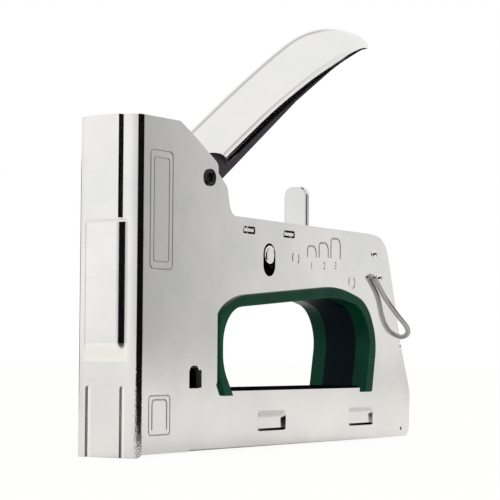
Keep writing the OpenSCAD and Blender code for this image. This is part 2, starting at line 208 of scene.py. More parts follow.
class Bench:
    """Hand tools for meshes: each one selects what it works on and leaves object mode behind it."""

    @staticmethod
    def take(*pieces: Piece) -> Piece:
        """Selects these pieces only, the first one active."""
        if bpy.context.object and bpy.context.object.mode != "OBJECT":
            bpy.ops.object.mode_set(mode="OBJECT")
        bpy.ops.object.select_all(action="DESELECT")
        for piece in pieces:
            piece.select_set(True)
        bpy.context.view_layer.objects.active = pieces[0]
        return pieces[0]

    @staticmethod
    def fresh(name: str) -> Piece:
        """Names the primitive that was just added."""
        piece = bpy.context.object
        piece.name = name
        piece.data.name = name
        return piece

    @staticmethod
    def lay_down() -> None:
        """Deselects everything, so that the next primitive is added alone."""
        bpy.ops.object.select_all(action="DESELECT")

    @classmethod
    def select_none(cls, piece: Piece, kind: str) -> None:
        """Empties a piece's selection of one kind, "FACE" or "EDGE", and stays in object mode."""
        cls.take(piece)
        bpy.ops.object.mode_set(mode="EDIT")
        bpy.ops.mesh.select_mode(type=kind)
        bpy.ops.mesh.select_all(action="DESELECT")
        bpy.ops.object.mode_set(mode="OBJECT")

    @classmethod
    def edit_faces(cls, piece: Piece, test: Test) -> None:
        """Opens edit mode with the faces that pass a test selected.

        Args:
            piece: The mesh.
            test: Takes a face's centre and its normal.
        """
        cls.select_none(piece, "FACE")
        for face in piece.data.polygons:
            face.select = test(face.center, face.normal)
        bpy.ops.object.mode_set(mode="EDIT")

    @classmethod
    def edit_all(cls, piece: Piece) -> None:
        """Opens edit mode with everything selected."""
        cls.edit_faces(piece, lambda centre, normal: True)

    @classmethod
    def edit_edges(cls, piece: Piece, test: Test) -> int:
        """Opens edit mode with the edges selected whose two ends pass a test.

        Args:
            piece: The mesh.
            test: Takes an edge's two ends.

        Returns:
            How many edges are selected.
        """
        cls.select_none(piece, "EDGE")
        found = 0
        points = piece.data.vertices
        for edge in piece.data.edges:
            a, b = edge.vertices
            edge.select = test(points[a].co, points[b].co)
            found += edge.select
        bpy.ops.object.mode_set(mode="EDIT")
        return found

    @classmethod
    def triangulate(cls) -> None:
        """Splits the open piece's large faces and leaves edit mode."""
        bpy.ops.mesh.select_all(action="SELECT")
        bpy.ops.mesh.quads_convert_to_tris(quad_method="BEAUTY", ngon_method="CLIP")
        cls.close()

    @classmethod
    def face_out(cls) -> None:
        """Turns the open piece's faces outwards and leaves edit mode."""
        bpy.ops.mesh.select_all(action="SELECT")
        bpy.ops.mesh.normals_make_consistent(inside=False)
        cls.close()

    @staticmethod
    def close() -> None:
        """Leaves edit mode."""
        bpy.ops.object.mode_set(mode="OBJECT")

    @classmethod
    def plate(
        cls, name: str, points: Sequence[Point], low: float, high: float, way: Way = Way.ACROSS
    ) -> Piece:
        """A flat blank: a ring of points on an outline, filled and extruded.

        Args:
            name: The new piece's name.
            points: The outline.
            low: Where the blank starts.
            high: Where it ends.
            way: The direction of its thickness.

        Returns:
            The blank.
        """
        cls.lay_down()
        bpy.ops.mesh.primitive_circle_add(vertices=len(points), radius=MM, fill_type="NGON")
        piece = cls.fresh(name)
        for vertex, (a, b) in zip(piece.data.vertices, points):
            vertex.co = way.place(a, b, low)
        cls.edit_all(piece)
        bpy.ops.mesh.extrude_region_move(TRANSFORM_OT_translate={"value": way.place(0, 0, high - low)})
        cls.face_out()
        return piece

    @classmethod
    def sheet(
        cls, name: str, rows: int, columns: int, place: Callable[[int, int], Sequence[float]]
    ) -> Piece:
        """A grid laid on a curved surface.

        Args:
            name: The new piece's name.
            rows: Number of rows of points.
            columns: Number of points in a row.
            place: Gives the point of a row and a column.

        Returns:
            The sheet, one face thick.
        """
        cls.lay_down()
        bpy.ops.mesh.primitive_grid_add(x_subdivisions=columns - 1, y_subdivisions=rows - 1, size=MM)
        piece = cls.fresh(name)
        for i in range(rows):
            for j in range(columns):
                piece.data.vertices[i * columns + j].co = Vector(place(i, j)) * MM
        piece.data.update()
        return piece

    @classmethod
    def tube(cls, name: str, rings: Sequence[Sequence[Sequence[float]]]) -> Piece:
        """A closed body whose skin runs through rings of points, with its two ends filled.

        Args:
            name: The new piece's name.
            rings: Rings with equal numbers of points, in millimetres.

        Returns:
            The body.
        """
        count = len(rings[0])
        piece = cls.sheet(name, len(rings), count + 1, lambda i, j: rings[i][j % count])
        cls.edit_all(piece)
        bpy.ops.mesh.remove_doubles(threshold=0.002 * MM)
        for k in (0, -1):
            cls.close()
            ends = [Vector(p) * MM for p in rings[k]]
            middle = sum(ends, Vector()) / count
            near = max((p - middle).length for p in ends) * 1.001
            first, second = ends[count // 3] - ends[0], ends[2 * count // 3] - ends[0]
            normal = first.cross(second).normalized()
            cls.edit_edges(piece, lambda a, b, m=middle, n=near, w=normal: all(
                (p - m).length <= n and abs((p - m).dot(w)) < 0.001 * MM for p in (a, b)
            ))
            bpy.ops.mesh.edge_face_add()
        cls.face_out()
        return piece

    @classmethod
    def rod(
        cls, name: str, at: Point, radius: float, low: float, high: float, sides: int = 64
    ) -> Piece:
        """A round bar across the gun.

        Args:
            name: The new piece's name.
            at: Its middle in side view.
            radius: Its radius.
            low: The y of its left end.
            high: The y of its right end.
            sides: Number of its facets.

        Returns:
            The bar.
        """
        cls.lay_down()
        middle = Vector((at[0], (low + high) / 2, at[1])) * MM
        bpy.ops.mesh.primitive_cylinder_add(
            vertices=sides, radius=radius * MM, depth=(high - low) * MM, location=middle,
            rotation=(math.pi / 2, 0, 0),
        )
        piece = cls.fresh(name)
        bpy.ops.object.transform_apply(location=True, rotation=True, scale=True)
        return piece

    @classmethod
    def cup_ends(cls, piece: Piece, inset: float, depth: float, shrink: float = 1.0) -> None:
        """Insets the two end faces of a cross bar and pushes them in.

        Args:
            piece: The bar.
            inset: Width of the rim that stays.
            depth: How far the middle goes in, negative for outwards.
            shrink: Scale of the pushed face.
        """
        for side in (-1, 1):
            cls.edit_faces(piece, lambda centre, normal, side=side: (
                normal.y * side > 0.99 and abs(centre.y) > 2 * MM
            ))
            bpy.ops.mesh.inset(thickness=inset * MM)
            bpy.ops.mesh.extrude_region_move(TRANSFORM_OT_translate={"value": (0, -side * depth * MM, 0)})
            if shrink != 1.0:
                bpy.ops.transform.resize(value=(shrink, 1, shrink))
            cls.close()

    @classmethod
    def modify(cls, piece: Piece, kind: str, **settings: Any) -> None:
        """Adds a modifier with these settings and applies it."""
        cls.take(piece)
        modifier = piece.modifiers.new(kind.lower(), kind)
        for key, value in settings.items():
            setattr(modifier, key, value)
        bpy.ops.object.modifier_apply(modifier=modifier.name)

    @classmethod
    def carve(
        cls, piece: Piece, tools: Iterable[Piece], operation: str = "DIFFERENCE"
    ) -> None:
        """Cuts, joins or trims a piece with tool bodies, which are used up.

        Args:
            piece: The piece to work on.
            tools: The bodies.
            operation: "DIFFERENCE", "UNION" or "INTERSECT".
        """
        for tool in tools:
            cls.modify(piece, "BOOLEAN", object=tool, operation=operation, solver="EXACT")
            bpy.data.objects.remove(tool)

    @classmethod
    def join(cls, pieces: Sequence[Piece]) -> Piece:
        """Makes one object of several, under the first one's name."""
        cls.take(*pieces)
        bpy.ops.object.join()
        return bpy.context.object

    @classmethod
    def weld(cls, piece: Piece, reach: float = 0.005) -> None:
        """Merges doubled points and turns the faces outwards."""
        cls.edit_all(piece)
        bpy.ops.mesh.remove_doubles(threshold=reach * MM)
        cls.face_out()

    @classmethod
    def mirrored(cls, piece: Piece, name: str) -> Piece:
        """A copy on the gun's other side, with its own mesh."""
        cls.take(piece)
        bpy.ops.object.duplicate(linked=False)
        twin = cls.fresh(name)
        cls.edit_all(twin)
        bpy.ops.transform.mirror(
            orient_type="GLOBAL", constraint_axis=(False, True, False), center_override=(0, 0, 0)
        )
        bpy.ops.mesh.flip_normals()
        cls.close()
        return twin

    @classmethod
    def round_edges(cls, piece: Piece, width: float, segments: int = 2, angle: float = 35.0) -> None:
        """Breaks the sharp edges."""
        cls.modify(
            piece, "BEVEL", width=width * MM, segments=segments, limit_method="ANGLE",
            angle_limit=math.radians(angle), use_clamp_overlap=True, miter_outer="MITER_ARC",
        )

    @classmethod
    def polish(cls, piece: Piece, angle: float = 38.0) -> None:
        """Shades the piece smooth between its edges, flats truly flat."""
        cls.take(piece)
        bpy.ops.object.shade_smooth_by_angle(angle=math.radians(angle))
        cls.modify(piece, "WEIGHTED_NORMAL", keep_sharp=True, weight=80)

    @classmethod
    def from_node(cls, node: str, name: str, bevel: float = 0.0, clean: bool = True) -> Piece:
        """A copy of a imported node's mesh, welded and with its edges broken.

        Args:
            node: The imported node.
            name: The new piece's name.
            bevel: Width of the broken edge, 0 for none.
            clean: Dissolves the flat faces' triangles first.

        Returns:
            The copy.
        """
        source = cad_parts[node]
        piece = bpy.data.objects.new(name, source.data.copy())
        bpy.context.scene.collection.objects.link(piece)
        piece.data.materials.clear()
        for key in [k for k in piece.keys()]:
            del piece[key]
        cls.edit_all(piece)
        bpy.ops.mesh.remove_doubles(threshold=0.002 * MM)
        if clean:
            bpy.ops.mesh.select_all(action="SELECT")
            bpy.ops.mesh.dissolve_limited(angle_limit=math.radians(1.0))
        cls.close()
        if bevel:
            cls.round_edges(piece, bevel)
        cls.polish(piece)
        return piece


@dataclass(frozen=True)
class Value:
    """A number or a colour that a shader works out, with the operators that the finishes use."""

    tree: "Shader"
    socket: bpy.types.NodeSocket

    def _maths(self, operation: str, first: Any, second: Any) -> "Value":
        """One Math node on two values."""
        return self.tree.node("ShaderNodeMath", {"operation": operation}, {0: first, 1: second})

    def __add__(self, other: Any) -> "Value":
        """self + other."""
        return self._maths("ADD", self, other)

    def __radd__(self, other: Any) -> "Value":
        """other + self."""
        return self._maths("ADD", other, self)

    def __sub__(self, other: Any) -> "Value":
        """self - other."""
        return self._maths("SUBTRACT", self, other)

    def __rsub__(self, other: Any) -> "Value":
        """other - self."""
        return self._maths("SUBTRACT", other, self)

    def __mul__(self, other: Any) -> "Value":
        """self * other."""
        return self._maths("MULTIPLY", self, other)

    def __rmul__(self, other: Any) -> "Value":
        """other * self."""
        return self._maths("MULTIPLY", other, self)

    def __truediv__(self, other: Any) -> "Value":
        """self / other."""
        return self._maths("DIVIDE", self, other)


class Shader:
    """A node tree under construction."""

    def __init__(self, tree: bpy.types.NodeTree) -> None:
        """Empties the tree.

        Args:
            tree: A material's or a world's node tree.
        """
        self.tree = tree
        tree.nodes.clear()

    def node(self, kind: str, settings: dict[str, Any], inputs: dict[Any, Any], output: Any = 0) -> Value:
        """Adds one node.

        Args:
            kind: The node's type.
            settings: Attributes to set first; "stops" gives a ramp's (place, colour) pairs.
            inputs: Values or links of its sockets, by name or number.
            output: The socket to return.

        Returns:
            The output socket as a value.
        """
        made = self.tree.nodes.new(kind)
        for key, value in settings.items():
            if key == "stops":
                self._set_stops(made.color_ramp, value)
            else:
                setattr(made, key, value)
        for key, value in inputs.items():
            if isinstance(value, Value):
                self.tree.links.new(value.socket, made.inputs[key])
            else:
                made.inputs[key].default_value = value
        return Value(self, made.outputs[output]) if made.outputs else Value(self, made.inputs[0])

    @staticmethod
    def _set_stops(ramp: bpy.types.ColorRamp, stops: Sequence[tuple[float, Colour]]) -> None:
        """Writes a ramp's stops."""
        while len(ramp.elements) > 1:
            ramp.elements.remove(ramp.elements[-1])
        for i, (place, colour) in enumerate(stops):
            element = ramp.elements[0] if i == 0 else ramp.elements.new(place)
            element.position = place
            element.color = (*colour, 1.0)

    def place(self, stretch: Place = (1, 1, 1)) -> Value:
        """Object coordinates, stretched."""
        where = self.node("ShaderNodeTexCoord", {}, {}, "Object")
        return self.node("ShaderNodeMapping", {}, {"Vector": where, "Scale": stretch})

    def noise(self, scale: float, detail: float = 3.0, stretch: Place = (1, 1, 1)) -> Value:
        """Noise from 0 to 1 at a scale per metre."""
        inputs = {"Vector": self.place(stretch), "Scale": scale, "Detail": detail}
        return self.node("ShaderNodeTexNoise", {}, inputs, "Fac")

    def axis(self, letter: str) -> Value:
        """One of the object coordinates, in metres."""
        return self.node("ShaderNodeSeparateXYZ", {}, {0: self.place()}, letter)

    def span(self, value: Value, low: float, high: float) -> Value:
        """Rises smoothly from 0 at low to 1 at high; low may be the greater."""
        inputs = {"Value": value, "From Min": low, "From Max": high}
        return self.node("ShaderNodeMapRange", {"interpolation_type": "SMOOTHSTEP"}, inputs, "Result")

    def blend(self, factor: Any, first: Any, second: Any) -> Value:
        """Mixes two colours."""
        full = [(*c, 1.0) if isinstance(c, tuple) else c for c in (first, second)]
        inputs = {"Factor": factor, 6: full[0], 7: full[1]}
        return self.node("ShaderNodeMix", {"data_type": "RGBA"}, inputs, 2)

    def bump(self, height: Value, strength: float, distance: float, under: Value | None = None) -> Value:
        """A bump of a depth in metres, laid on another if one is given."""
        inputs = {"Height": height, "Strength": strength, "Distance": distance}
        if under is not None:
            inputs["Normal"] = under
        return self.node("ShaderNodeBump", {}, inputs, "Normal")

    def surface(self, inputs: dict[str, Any]) -> None:
        """Ends a material in a Principled shader."""
        skin = self.node("ShaderNodeBsdfPrincipled", {}, inputs, "BSDF")
        self.node("ShaderNodeOutputMaterial", {}, {"Surface": skin})


def new_material(name: str) -> tuple[bpy.types.Material, Shader]:
    """An empty material, and the shader that fills it."""
    material = bpy.data.materials.new(name)
    material.use_nodes = True
    return material, Shader(material.node_tree)


CLOUD_SCALE = 38.0
DRAW_LINE_SCALE = 2600.0
SPECK_SCALE = 1500.0
WAVE_SCALE = 55.0
PIT_SCALE = 1700.0
COAT_CLOUD_SCALE = 60.0


@dataclass(frozen=True)
class Finish:
    """What every surface finish shares."""

    name: str

    def build(self) -> bpy.types.Material:
        """Makes the material."""
        material, shader = new_material(self.name)
        self.dress(shader)
        return material

    def dress(self, shader: Shader) -> None:
        """Lays the finish's nodes."""
        raise NotImplementedError


@dataclass(frozen=True)
class PlatedSteel(Finish):
    """Polished or brushed plated sheet, with faint clouding, fine draw lines and handling marks."""

    tint: Colour = (0.9, 0.89, 0.88)
    shade: Colour = (0.82, 0.82, 0.82)
    gloss: float = 0.06
    cloud: float = 0.05
    grain: float = 0.02
    grain_stretch: Colour = (1.0, 1.0, 12.0)
    ripple: float = 0.012
    pitted: bool = False

    def dress(self, shader: Shader) -> None:
        """Lays the plate's colour, gloss and relief."""
        clouds = shader.noise(CLOUD_SCALE, 4.0)
        lines = shader.noise(DRAW_LINE_SCALE, 2.0, self.grain_stretch)
        specks = shader.span(shader.noise(SPECK_SCALE, 2.0), 0.62, 0.78)
        colour = shader.blend(shader.span(clouds, 0.3, 0.7), self.tint, self.shade)
        colour = shader.blend(specks * 0.25, colour, tuple(0.6 * c for c in self.shade))
        gloss = self.gloss + clouds * self.cloud + lines * self.grain
        waves = shader.bump(shader.noise(WAVE_SCALE, 1.0), self.ripple, 0.002)
        normal = shader.bump(lines, self.grain, 0.0002, waves)
        if self.pitted:
            worn = self.worn_foot(shader)
            gloss = gloss + worn * 0.12
            pits = shader.bump(shader.noise(PIT_SCALE, 1.0), 1.0, 0.00015, normal)
            mixed = {"Factor": worn, 4: normal, 5: pits}
            normal = shader.node("ShaderNodeMix", {"data_type": "VECTOR"}, mixed, 1)
        shader.surface({"Base Color": colour, "Metallic": 1.0, "Roughness": gloss, "Normal": normal})

    @staticmethod
    def worn_foot(shader: Shader) -> Value:
        """How worn the nose's bend is: 1 at its foot, 0 above it and away from the bend."""
        ahead = shader.axis("X")
        bent = shader.span(ahead, 0.004, 0.002) * shader.span(ahead, -0.0003, 0.0006)
        return shader.span(shader.axis("Z"), 0.045, 0.0) * bent


@dataclass(frozen=True)
class Coat(Finish):
    """Painted, blackened or moulded surface with a fine texture."""

    tint: Colour = (0.03, 0.03, 0.03)
    shade: Colour = (0.02, 0.02, 0.02)
    gloss: float = 0.5
    spread: float = 0.1
    texture: float = 0.3
    texture_scale: float = 1400.0
    clear: float = 0.0
    sheen: float = 0.3

    def dress(self, shader: Shader) -> None:
        """Lays the coat's colour, gloss and texture."""
        clouds = shader.noise(COAT_CLOUD_SCALE, 3.0)
        fine = shader.noise(self.texture_scale, 2.0)
        colour = shader.blend(shader.span(clouds, 0.3, 0.7), self.tint, self.shade)
        gloss = self.gloss + (clouds - 0.5) * self.spread + (fine - 0.5) * 0.5 * self.spread
        normal = shader.bump(fine, self.texture, 0.0001)
        shader.surface({
            "Base Color": colour, "Roughness": gloss, "Normal": normal, "Specular IOR Level": self.sheen,
            "Coat Weight": self.clear, "Coat Roughness": 0.1,
        })


FINISHES: dict[Slot, Finish] = {
    Slot.POLISHED: PlatedSteel("polished_nickel_sheet", pitted=True),
    Slot.CHROME: PlatedSteel(
        "bright_chrome_plate", tint=(0.94, 0.93, 0.92), shade=(0.9, 0.9, 0.89), gloss=0.05, cloud=0.04,
        ripple=0.01, grain=0.004,
    ),
    Slot.LEVER: Coat(
        "satin_grey_lever_coat", tint=(0.045, 0.039, 0.048), shade=(0.036, 0.032, 0.04), gloss=0.6,
        sheen=0.15,
    ),
    Slot.GREEN: Coat(
        "green_grip_moulding", tint=(0.0015, 0.05, 0.028), shade=(0.001, 0.034, 0.019), gloss=0.28,
        texture=0.1, sheen=0.08,
    ),
    Slot.INSET: Coat(
        "soft_blue_black_insert", tint=(0.0015, 0.007, 0.012), shade=(0.001, 0.005, 0.009), gloss=0.5,
        texture=0.4, texture_scale=2200.0, sheen=0.06,
    ),
    Slot.OXIDE: Coat(
        "blackened_steel", tint=(0.012, 0.012, 0.014), shade=(0.007, 0.007, 0.008), gloss=0.22, sheen=0.35
    ),
    Slot.ZINC: PlatedSteel(
        "zinc_plated_sheet", tint=(0.5, 0.51, 0.54), shade=(0.42, 0.42, 0.43), gloss=0.22, cloud=0.15,
        grain=0.1,
    ),
    Slot.SPRING: PlatedSteel(
        "drawn_spring_wire", tint=(0.36, 0.35, 0.36), shade=(0.25, 0.25, 0.27), gloss=0.25, grain=0.12
    ),
    Slot.RUBBER: Coat(
        "soft_bumper_rubber", tint=(0.012, 0.012, 0.012), shade=(0.008, 0.008, 0.008), gloss=0.7, texture=0.5
    ),
    Slot.PLASTIC: Coat(
        "matte_black_moulding", tint=(0.014, 0.014, 0.016), shade=(0.01, 0.01, 0.011), gloss=0.42
    ),
}
# Darker, rougher steel for the faces inside the engraved lines: painted shade in the grooves.
ENGRAVED_LINE_PAINTED_SHADE = PlatedSteel(
    "engraved_line_painted_shade", tint=(0.62, 0.61, 0.6), shade=(0.54, 0.54, 0.54), gloss=0.3, cloud=0.1, ripple=0.0
)
# Dark steel for the foot grooves' side walls: painted shade inside the grooves.
GROOVE_WALL_PAINTED_SHADE = PlatedSteel(
    "groove_wall_painted_shade", tint=(0.16, 0.16, 0.16), shade=(0.1, 0.1, 0.1), gloss=0.3, cloud=0.1, ripple=0.0
)
# Near-white steel for the foot grooves' floors and the front of the ridge's ramp: painted highlight standing
# in for the floor's reflection.
PAINTED_HIGHLIGHT_STEEL = PlatedSteel(
    "painted_highlight_steel", tint=(1.0, 0.985, 0.955), shade=(0.98, 0.965, 0.935), gloss=0.2, cloud=0.04,
    ripple=0.0,
)
# A darker copy of the chrome for the bail wire: painted shade that dims its reflections.
BAIL_PAINTED_SHADE_STEEL = PlatedSteel(
    "bail_wire_painted_shade", tint=(0.46, 0.45, 0.45), shade=(0.36, 0.36, 0.37), gloss=0.12, cloud=0.06, ripple=0.0
)
# Reflectionless black for the top of the raised sill: a painted shadow strip at the foot of the hand opening.
SHADOW_GAP = Coat("sill_painted_shadow", tint=(0.004, 0.004, 0.005), shade=(0.002, 0.002, 0.003), gloss=0.9, sheen=0.0)
TONGUE_STEEL = PlatedSteel(
    "setting_tongue_plate", tint=(0.8, 0.8, 0.79), shade=(0.74, 0.74, 0.74), gloss=0.1, cloud=0.08,
    ripple=0.01,
)


class Dresser:
    """Hands out one material for each slot and counts the pieces."""

    def __init__(self) -> None:
        """Builds nothing yet."""
        self.made: dict[Slot, bpy.types.Material] = {}
        self.count = 0

    def material(self, slot: Slot) -> bpy.types.Material:
        """The slot's material, made at its first use."""
        if slot not in self.made:
            self.made[slot] = FINISHES[slot].build()
        return self.made[slot]

    def keep(self, piece: Piece, body: Body, slot: Slot, *nodes: str) -> Piece:
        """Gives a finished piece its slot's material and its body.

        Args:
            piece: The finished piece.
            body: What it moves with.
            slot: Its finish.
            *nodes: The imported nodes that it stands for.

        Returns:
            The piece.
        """
        Bench.modify(piece, "WEIGHTED_NORMAL", mode="FACE_AREA", weight=50, keep_sharp=True)
        piece.data.materials.clear()
        piece.data.materials.append(self.material(slot))
        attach(piece, body.value)
        if nodes:
            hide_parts(*nodes)
        self.count += 1
        faces = len(piece.data.polygons)
        LOG.info("%s rides on %s in %s, %d faces", piece.name, body.value, slot.value, faces)
        return piece

    def inlay(self, piece: Piece, finish: Finish, test: Test) -> None:
        """Gives some faces of a finished piece another finish.

        Args:
            piece: The piece.
            finish: The other finish.
            test: Takes a face's centre and its normal.
        """
        made = bpy.data.materials.get(finish.name) or finish.build()
        piece.data.materials.append(made)
        index = len(piece.data.materials) - 1
        for face in piece.data.polygons:
            if test(face.center / MM, face.normal):
                face.material_index = index

    def dress_node(self, node: str, slot: Slot) -> None:
        """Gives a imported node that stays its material."""
        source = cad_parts[node]
        source.data.materials.clear()
        source.data.materials.append(self.material(slot))
        self.count += 1
        LOG.info("%s keeps its packed mesh in %s", node, slot.value)


PLATE_OUT = 12.0
PLATE_IN = 10.6
WINDOWS: tuple[Point, ...] = ((69.5, 80.6), (98.9, 80.6))
WINDOW_SIZE: Point = (8.6, 2.8)
RIVETS: dict[str, Point] = {"rivet_fore": (108.3, 73.0), "rivet_aft": (153.7, 65.0)}
RIVET_R = 2.7
SETTING_PIN: Point = (88.5, 73.4)
BAIL_EYE: Point = (169.5, 68.1)
PIVOT: Point = (44.8, 99.4)
PIN_R = 3.15
HAND_FLOOR = 22.1
ARCH_INNER = Outline((
    (62, 20, 0), (162.6, 20, 0), (167.2, 42, 16), (161.5, 54.6, 16), (141, 58.8, 75), (54.4, 52.2, 14),
    (54.4, 31, 16),
), 14)
ARCH_FLANGE = Outline((
    (55.6, 20.4, 1), (169.4, 20.4, 1), (173.4, 42, 20), (165, 57.6, 19), (140, 63.2, 70), (65, 57.4, 34),
    (51.2, 50.4, 13), (51.2, 28, 6),
), 14)


def notch_tool() -> Piece:
    """The relief notch at the foot of the cover's rear edge, as a cutting body."""
    outline = Outline((
        (32.4, 23.4, 0), (40.4, 23.4, 0), (40.4, 30.0, 0.6), (38.3, 30.0, 0), (38.1, 31.5, 1.6),
        (32.4, 31.5, 2.6),
    ), 8)
    return Bench.plate("notch_tool", outline.points(), -14, 14)


@dataclass
class TowerCover:
    """The bent sheet round the nose, with its pressed ridge, foot grooves and engraved panels."""

    dresser: Dresser
    half: float = 13.0
    front: float = -0.5
    bend: float = 3.8
    wall: float = 1.0
    step: Point = (81.2, 82.3)
    crest_step: Point = (80.6, 82.1)
    ramp: Point = (32.4, 39.2)
    ridge_base: Point = (9.1, 6.95)
    ridge_crest: Point = (6.3, 6.1)
    ridge_rise: Point = (3.1, 2.0)
    groove_y: Point = (6.1, 8.3)
    groove_top: float = 24.6
    groove_depth: float = 0.8
    engraved: float = 0.28
    panels: tuple[tuple[float, ...], ...] = (
        (6.9, 64.8, 21.2, 106.6, 2.2, 0.5), (9.2, 67.4, 18.9, 104.0, 1.2, 0.4),
        (7.0, 7.4, 20.4, 21.4, 1.6, 0.45),
    )
    staple_box: tuple[float, ...] = (9.2, 9.4, 18.2, 19.8)
    outline: Outline = Outline((
        (-4, 0, 0), (1.5, 0, 1), (3.2, 1.1, 1), (32.4, 1.1, 0), (32.6, 23.6, 0), (50.7, 23.6, 2.5),
        (50.7, 104.8, 3), (34.5, 113.7, 12), (25.4, 118, 2), (-4, 118, 0),
    ), 8)

    def ridge(self, z: float) -> Place:
        """Base half width, top half width and rise of the ridge at a height."""
        up = ease(z, *self.step)
        crest = ease(z, *self.crest_step)
        foot = ease(z, self.ramp[0] + 0.2, self.ramp[1])
        kinds = ((self.ridge_base, up), (self.ridge_crest, crest), (self.ridge_rise, crest))
        base, top, rise = (low + (high - low) * share for (low, high), share in kinds)
        return base, top, rise * foot

    def section(self, z: float, wall: float = 0.0) -> list[Place]:
        """The sheet's plan section at a height, from the right rear to the left rear.

        Args:
            z: The height.
            wall: Depth under the outer face.

        Returns:
            Its points.
        """
        base, top, rise = self.ridge(z)
        base, top = base - 0.9 * wall, top - 0.9 * wall
        front, bend = self.front + wall, self.bend - wall
        side, flat = self.half - wall, self.half - self.bend
        half = [(x, side) for x in (54, 44, 34, 24, 14, 6)]
        for k in range(11):
            angle = math.pi / 2 * k / 10
            half.append((front + bend * (1 - math.sin(angle)), flat + bend * math.cos(angle)))
        half += [(front, flat + (base - flat) * k / 3) for k in (1, 2)]
        for k in range(13):
            climb = 0.5 * ease(k / 12) + 0.5 * k / 12
            half.append((front - rise * climb, base + (top - base) * k / 12))
        half += [(front - rise, top * k) for k in (0.66, 0.33)]
        full = half + [(front - rise, 0.0)] + [(x, -y) for x, y in reversed(half)]
        return [(x, y, z) for x, y in full]

    def rows(self) -> list[float]:
        """Heights of the sheet's rows, close where the ridge changes."""
        slow = [-2, 8, 16, 24, 30]
        ramp = [self.ramp[0] + (self.ramp[1] - self.ramp[0]) * k / 14 for k in range(15)]
        between = [44, 52, 60, 70, 76]
        first, last = self.crest_step[0], self.step[1]
        step = [first + (last - first) * k / 16 for k in range(17)]
        return slow + ramp + between + step + [90, 100, 110, 120]

    def shell(self) -> Piece:
        """The formed sheet, trimmed to its outline."""
        rings = [self.section(z) + self.section(z, self.wall)[::-1] for z in self.rows()]
        piece = Bench.tube("tower_cover_shell", rings)
        Bench.carve(piece, [Bench.plate("trim_tool", self.outline.points(), -15, 15)], "INTERSECT")
        Bench.edit_faces(piece, lambda centre, normal: abs(normal.y) > 0.9999)
        bpy.ops.mesh.dissolve_limited(angle_limit=math.radians(0.2))
        Bench.close()
        return piece

    def marks(self) -> list[Piece]:
        """Cutting bodies for the grooves, the notch, the pin hole and the engraved lines."""
        tools = [notch_tool(), Bench.rod("pin_tool", PIVOT, PIN_R + 0.05, -16, 16)]
        (near, far), top = self.groove_y, self.groove_top
        groove = Outline(((near, -1, 0), (far, -1, 0), (far, top, 1), (near, top, 1)), 6)
        for side in (-1, 1):
            points = [(side * a, b) for a, b in groove.points()]
            floor = self.front + self.groove_depth
            tools.append(Bench.plate("groove_tool", points, self.front - 1, floor, Way.ALONG))
        deep = -self.half + self.engraved
        for *box, width in self.panels:
            tools.append(self.loop(box_outline(*box), width, deep))
        left, foot, right, top = self.staple_box
        crown = Outline(((left, foot, 0), (right, foot, 0), (right, top, 1.6), (left, top, 1.6)), 6)
        line = [(right, foot)] + crown.points()[2:] + [(left, foot)]
        tools.append(Bench.plate("staple_line_tool", stroke(line, 0.6), -15, deep))
        return tools

    @staticmethod
    def loop(outline: Outline, width: float, deep: float) -> Piece:
        """An engraved loop as a cutting body."""
        outer = Bench.plate("loop_tool", outline.points(), -15, deep)
        inner = Bench.plate("loop_core", outline.grown(-width).points(), -16, deep + 1)
        Bench.carve(outer, [inner])
        return outer

    def in_groove(self, at: Vector) -> bool:
        """Whether a place in millimetres is in a foot groove."""
        return at.x < 0.4 and at.z < self.groove_top + 0.4 and 6.0 < abs(at.y) < 8.4

    def build(self) -> None:
        """Makes the cover and its cap."""
        piece = self.shell()
        Bench.carve(piece, self.marks())
        Bench.round_edges(piece, 0.16, 2, 66)
        Bench.polish(piece, 66)
        piece.name = "nose_cover"
        self.dresser.keep(piece, Body.FRAME, Slot.POLISHED, "tower_cover")
        # Faces inside the engraved panel lines get the darker steel: painted shade in the grooves.
        self.dresser.inlay(piece, ENGRAVED_LINE_PAINTED_SHADE, lambda at, normal: (
            6 < at.x < 22 and 7 < at.z < 107 and 0.03 < self.half + at.y < 0.4
        ))
        # The foot grooves' side walls get the dark steel: painted shade.
        self.dresser.inlay(piece, GROOVE_WALL_PAINTED_SHADE, lambda at, normal: (
            self.in_groove(at) and abs(normal.y) > 0.7
        ))
        # Groove floors and the ridge ramp's front faces get the near-white steel: painted highlight.
        self.dresser.inlay(piece, PAINTED_HIGHLIGHT_STEEL, lambda at, normal: (
            self.in_groove(at) and at.x > 0 and abs(normal.x) > 0.7
        ) or (
            at.x < -0.45 and self.ramp[0] + 0.4 < at.z < self.ramp[1] - 0.2 and abs(at.y) < 9.0
        ))
        cap = Bench.from_node("tower_cap", "nose_cap", 0.2)
        self.dresser.keep(cap, Body.FRAME, Slot.POLISHED, "tower_cap")


